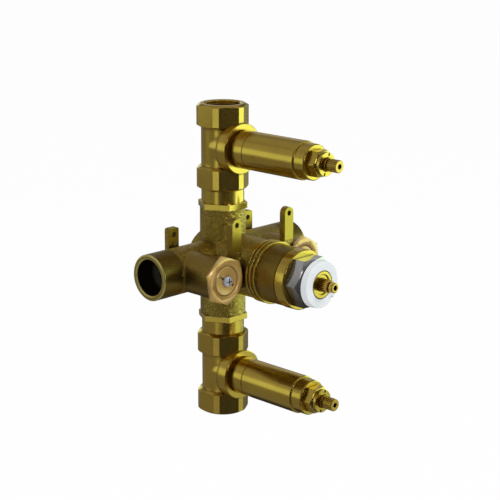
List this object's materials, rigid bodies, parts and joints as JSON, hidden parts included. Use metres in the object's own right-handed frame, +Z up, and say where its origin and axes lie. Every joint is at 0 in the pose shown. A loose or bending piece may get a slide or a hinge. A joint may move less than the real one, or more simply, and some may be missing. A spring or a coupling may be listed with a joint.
{
  "type": "temperature mixing valve",
  "caption": "Concealed brass shower valve: central temperature cartridge between side inlets, with a stem-operated volume control tee above and another below.",
  "frame": {"origin": "where the inlet axis, the vertical outlet axis and the cartridge axis cross", "axes": "+Z up along the outlets, -Y forward along the stems, +X along the right (cold) inlet"},
  "size_m": [0.1312, 0.1167, 0.2082],
  "materials": {
    "cast_brass": "rough sand-cast brass",
    "machined_brass": "smooth machined brass",
    "turned_brass": "turned brass, satin",
    "stem_brass": "turned brass, bright",
    "plug_bronze": "tan brass, faced",
    "element_copper": "copper, satin",
    "chrome": "polished chrome plate",
    "white_plastic": "moulded white plastic",
    "grey_plastic": "moulded grey plastic",
    "black_plastic": "moulded black plastic",
    "disc_ceramic": "lapped white ceramic",
    "seal_rubber": "black rubber",
    "spring_steel": "stainless wire",
    "screw_steel": "zinc plated steel"
  },
  "bodies": {
    "body": {"cartridge_head": "turned_brass", "cartridge_seals": "seal_rubber", "cartridge_sleeve": "grey_plastic", "front_collar": "turned_brass", "left_check_cage": "black_plastic", "left_check_spring": "spring_steel", "left_plug_seal": "seal_rubber", "left_stop_plug": "plug_bronze", "limit_ring": "white_plastic", "lock_nut": "chrome", "lower_bonnet": "turned_brass", "lower_bonnet_seal": "seal_rubber", "lower_disc_cage": "grey_plastic", "lower_fixed_disc": "disc_ceramic", "lower_gland": "turned_brass", "lower_nipple": "turned_brass", "lower_retaining_ring": "turned_brass", "lower_seat_seal": "seal_rubber", "lower_tee": "machined_brass", "return_spring": "spring_steel", "right_check_cage": "black_plastic", "right_check_spring": "spring_steel", "right_plug_seal": "seal_rubber", "right_stop_plug": "plug_bronze", "upper_bonnet": "turned_brass", "upper_bonnet_seal": "seal_rubber", "upper_disc_cage": "grey_plastic", "upper_fixed_disc": "disc_ceramic", "upper_gland": "turned_brass", "upper_nipple": "turned_brass", "upper_retaining_ring": "turned_brass", "upper_seat_seal": "seal_rubber", "upper_tee": "machined_brass", "valve_body": "cast_brass"},
    "upper_control": {"upper_stem": "stem_brass", "upper_stem_seals": "seal_rubber", "upper_moving_disc": "disc_ceramic"},
    "lower_control": {"lower_stem": "stem_brass", "lower_stem_seals": "seal_rubber", "lower_moving_disc": "disc_ceramic"},
    "temperature_control": {"temperature_stem": "stem_brass", "temperature_stem_seals": "seal_rubber"},
    "mixer_slide": {"adjusting_nut": "turned_brass", "overtravel_spring": "spring_steel", "thermal_element": "element_copper", "shuttle": "grey_plastic"},
    "left_stop": {"left_stop_disc": "plug_bronze", "left_stop_spindle": "turned_brass", "left_spindle_seal": "seal_rubber", "left_stop_screw": "screw_steel"},
    "left_stop_slide": {"left_stop_piston": "turned_brass", "left_stop_washer": "seal_rubber"},
    "left_check": {"left_check_poppet": "black_plastic"},
    "right_stop": {"right_stop_disc": "plug_bronze", "right_stop_spindle": "turned_brass", "right_spindle_seal": "seal_rubber", "right_stop_screw": "screw_steel"},
    "right_stop_slide": {"right_stop_piston": "turned_brass", "right_stop_washer": "seal_rubber"},
    "right_check": {"right_check_poppet": "black_plastic"}
  },
  "joints": [
    {"name": "upper_stem_turn", "type": "hinge", "parent": "body", "child": "upper_control", "pos_m": [0, -0.0998, 0.0762], "axis": [0, -1, 0], "range_deg": [0, 90]},
    {"name": "lower_stem_turn", "type": "hinge", "parent": "body", "child": "lower_control", "pos_m": [0, -0.0998, -0.0762], "axis": [0, -1, 0], "range_deg": [0, 90]},
    {"name": "temperature_turn", "type": "hinge", "parent": "body", "child": "temperature_control", "pos_m": [0, -0.098, 0], "axis": [0, -1, 0], "range_deg": [-135, 135]},
    {"name": "mixer_travel", "type": "slide", "parent": "body", "child": "mixer_slide", "axis": [0, 1, 0], "range_m": [-0.00094, 0.00094], "deforming": ["return_spring"]},
    {"name": "left_stop_turn", "type": "hinge", "parent": "body", "child": "left_stop", "pos_m": [-0.036, -0.0396, 0], "axis": [0, 1, 0], "range_deg": [0, 912]},
    {"name": "left_stop_travel", "type": "slide", "parent": "body", "child": "left_stop_slide", "axis": [0, 1, 0], "range_m": [0, 0.0038]},
    {"name": "left_check_lift", "type": "slide", "parent": "body", "child": "left_check", "axis": [1, 0, 0], "range_m": [0, 0.002], "stiffness_N_per_m": 150, "springref_m": -0.003, "deforming": ["left_check_spring"]},
    {"name": "right_stop_turn", "type": "hinge", "parent": "body", "child": "right_stop", "pos_m": [0.036, -0.0396, 0], "axis": [0, 1, 0], "range_deg": [0, 912]},
    {"name": "right_stop_travel", "type": "slide", "parent": "body", "child": "right_stop_slide", "axis": [0, 1, 0], "range_m": [0, 0.0038]},
    {"name": "right_check_lift", "type": "slide", "parent": "body", "child": "right_check", "axis": [-1, 0, 0], "range_m": [0, 0.002], "stiffness_N_per_m": 150, "springref_m": -0.003, "deforming": ["right_check_spring"]}
  ],
  "couplings": [
    {"joint": "temperature_turn", "follows": "mixer_travel", "rad_per_m": 2513.3},
    {"joint": "left_stop_turn", "follows": "left_stop_travel", "rad_per_m": 4188.8},
    {"joint": "right_stop_turn", "follows": "right_stop_travel", "rad_per_m": 4188.8}
  ]
}
